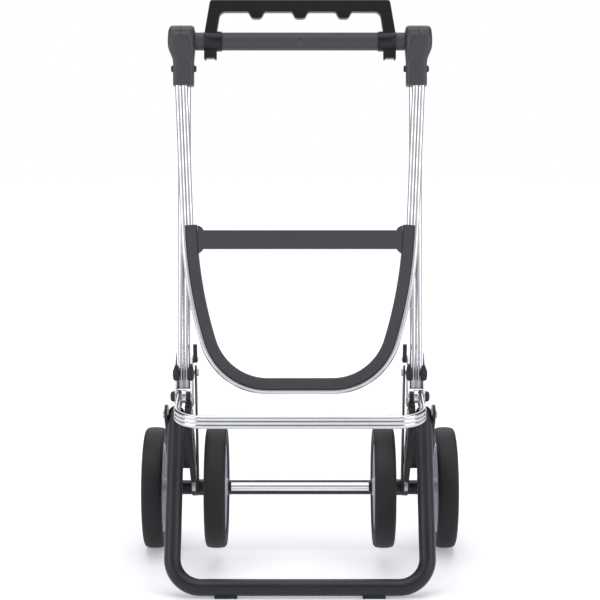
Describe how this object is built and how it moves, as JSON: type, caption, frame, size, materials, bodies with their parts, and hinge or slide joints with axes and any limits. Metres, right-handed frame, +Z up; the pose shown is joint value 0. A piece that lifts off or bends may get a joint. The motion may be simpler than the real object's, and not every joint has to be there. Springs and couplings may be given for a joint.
{
  "type": "folding trolley chassis",
  "caption": "Bare folding four-wheel trolley chassis: loop handle, aluminium tubes, bent back frame, shelf hoop, folding front foot and swinging inner wheel fork.",
  "frame": {"origin": "on the floor, below the middle of the chassis's own box", "axes": "+X to the right seen from the bag side, +Y to the rear, +Z up"},
  "size_m": [0.5292, 0.413, 0.8963],
  "materials": {
    "polished_aluminium": "polished, anodised",
    "black_plastic": "satin moulded",
    "leg_plastic": "satin moulded",
    "grey_plastic": "satin moulded",
    "button_plastic": "satin moulded",
    "handle_plastic": "satin moulded",
    "bush_plastic": "plain moulded",
    "axle_chrome": "mirror",
    "coated_tube": "satin powder coat",
    "tyre_rubber": "matt, smooth tread",
    "hub_plastic": "smooth moulded",
    "pad_rubber": "matt",
    "zinc_steel": "zinc plated"
  },
  "bodies": {
    "chassis": {"tube_left": "polished_aluminium", "tube_right": "polished_aluminium", "tube_plugs": "black_plastic", "back_frame": "polished_aluminium", "frame_liner": "grey_plastic", "mid_bar": "grey_plastic", "knuckle_shell_left": "grey_plastic", "knuckle_shell_right": "grey_plastic", "knuckle_cap_left": "grey_plastic", "knuckle_cap_right": "grey_plastic", "button_springs": "zinc_steel", "crossbar_bushes": "bush_plastic", "side_plates": "zinc_steel", "upper_joint_caps": "black_plastic", "tube_bolts": "zinc_steel", "lower_joint_caps": "black_plastic", "hoop_bolts": "zinc_steel", "lever_pins": "zinc_steel", "rear_leg_left": "leg_plastic", "rear_leg_right": "leg_plastic", "leg_bolts": "zinc_steel", "axle_tube": "coated_tube", "axle_rod": "zinc_steel", "axle_washers": "zinc_steel", "axle_caps": "black_plastic", "foot_bolts": "zinc_steel"},
    "handle": {"crossbar": "grey_plastic", "loop_handle": "handle_plastic", "handle_screws": "zinc_steel"},
    "hoop": {"shelf_hoop": "polished_aluminium"},
    "foot": {"foot_tube": "coated_tube", "foot_pads": "pad_rubber"},
    "fork": {"fork_arms": "leg_plastic", "fork_spacer": "axle_chrome", "fork_rod": "zinc_steel", "fork_collars": "black_plastic", "fork_nuts": "zinc_steel"},
    "wheel_outer_left": {"tyre_outer_left": "tyre_rubber", "hub_outer_left": "hub_plastic"},
    "wheel_outer_right": {"tyre_outer_right": "tyre_rubber", "hub_outer_right": "hub_plastic"},
    "wheel_inner_left": {"tyre_inner_left": "tyre_rubber", "hub_inner_left": "hub_plastic"},
    "wheel_inner_right": {"tyre_inner_right": "tyre_rubber", "hub_inner_right": "hub_plastic"},
    "lever_left": {"finger_lever_left": "black_plastic"},
    "lever_right": {"finger_lever_right": "black_plastic"},
    "press_left_outer": {"button_left_outer": "button_plastic"},
    "press_left_inner": {"button_left_inner": "button_plastic"},
    "press_right_outer": {"button_right_outer": "button_plastic"},
    "press_right_inner": {"button_right_inner": "button_plastic"}
  },
  "joints": [
    {"name": "handle_fold", "type": "hinge", "parent": "chassis", "child": "handle", "pos_m": [0, 0.02553, 0.83142], "axis": [1, 0, 0], "range_deg": [0, 150]},
    {"name": "hoop_fold", "type": "hinge", "parent": "chassis", "child": "hoop", "pos_m": [0, -0.072, 0.284], "axis": [-1, 0, 0], "range_deg": [0, 80]},
    {"name": "foot_fold", "type": "hinge", "parent": "chassis", "child": "foot", "pos_m": [0, -0.066, 0.256], "axis": [1, 0, 0], "range_deg": [0, 68]},
    {"name": "fork_swing", "type": "hinge", "parent": "chassis", "child": "fork", "pos_m": [0, -0.0467, 0.3178], "axis": [-1, 0, 0], "range_deg": [0, 40]},
    {"name": "wheel_outer_left_spin", "type": "hinge", "parent": "chassis", "child": "wheel_outer_left", "pos_m": [0, 0.1065, 0.1], "axis": [1, 0, 0], "continuous": true},
    {"name": "wheel_outer_right_spin", "type": "hinge", "parent": "chassis", "child": "wheel_outer_right", "pos_m": [0, 0.1065, 0.1], "axis": [1, 0, 0], "continuous": true},
    {"name": "wheel_inner_left_spin", "type": "hinge", "parent": "fork", "child": "wheel_inner_left", "pos_m": [0, -0.0085, 0.127], "axis": [1, 0, 0], "continuous": true},
    {"name": "wheel_inner_right_spin", "type": "hinge", "parent": "fork", "child": "wheel_inner_right", "pos_m": [0, -0.0085, 0.127], "axis": [1, 0, 0], "continuous": true},
    {"name": "lever_left_press", "type": "hinge", "parent": "chassis", "child": "lever_left", "pos_m": [0, -0.045, 0.338], "axis": [1, 0, 0], "range_deg": [0, 25], "stiffness_Nm_per_rad": 0.3},
    {"name": "lever_right_press", "type": "hinge", "parent": "chassis", "child": "lever_right", "pos_m": [0, -0.045, 0.338], "axis": [1, 0, 0], "range_deg": [0, 25], "stiffness_Nm_per_rad": 0.3},
    {"name": "button_left_outer_press", "type": "slide", "parent": "chassis", "child": "press_left_outer", "axis": [1, 0, 0], "range_m": [0, 0.002], "stiffness_N_per_m": 400},
    {"name": "button_left_inner_press", "type": "slide", "parent": "chassis", "child": "press_left_inner", "axis": [-1, 0, 0], "range_m": [0, 0.002], "stiffness_N_per_m": 400},
    {"name": "button_right_outer_press", "type": "slide", "parent": "chassis", "child": "press_right_outer", "axis": [-1, 0, 0], "range_m": [0, 0.002], "stiffness_N_per_m": 400},
    {"name": "button_right_inner_press", "type": "slide", "parent": "chassis", "child": "press_right_inner", "axis": [1, 0, 0], "range_m": [0, 0.002], "stiffness_N_per_m": 400}
  ]
}
